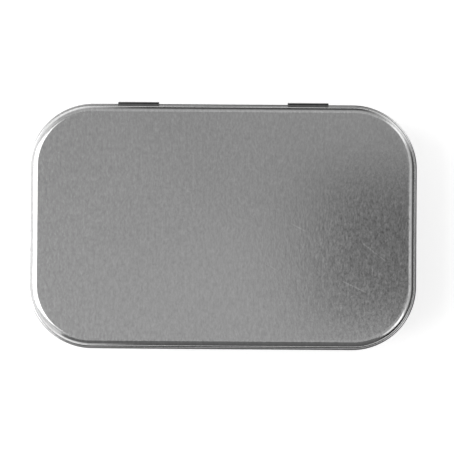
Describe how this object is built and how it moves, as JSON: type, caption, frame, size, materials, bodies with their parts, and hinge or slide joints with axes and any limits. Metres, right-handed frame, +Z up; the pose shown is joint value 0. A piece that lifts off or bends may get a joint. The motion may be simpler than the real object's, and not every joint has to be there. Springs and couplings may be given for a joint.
{
  "type": "hinged tin",
  "caption": "Shallow oblong tinplate box with rounded corners and a lid that swings back on lugs curled round its rolled bead.",
  "frame": {"origin": "middle of the underside, on the plane that the tin rests on", "axes": "+X along the tin, +Y towards the hinged back, +Z up through the lid"},
  "size_m": [0.095, 0.0605, 0.021],
  "materials": {
    "tinplate": "bare tinplate with a fine grain across the tin, satin"
  },
  "bodies": {
    "body": {"body": "tinplate"},
    "lid": {"lid": "tinplate"}
  },
  "joints": [
    {"name": "lid_hinge", "type": "hinge", "parent": "body", "child": "lid", "pos_m": [0, 0.0294, 0.0146], "axis": [-1, 0, 0], "range_deg": [0, 110]}
  ]
}
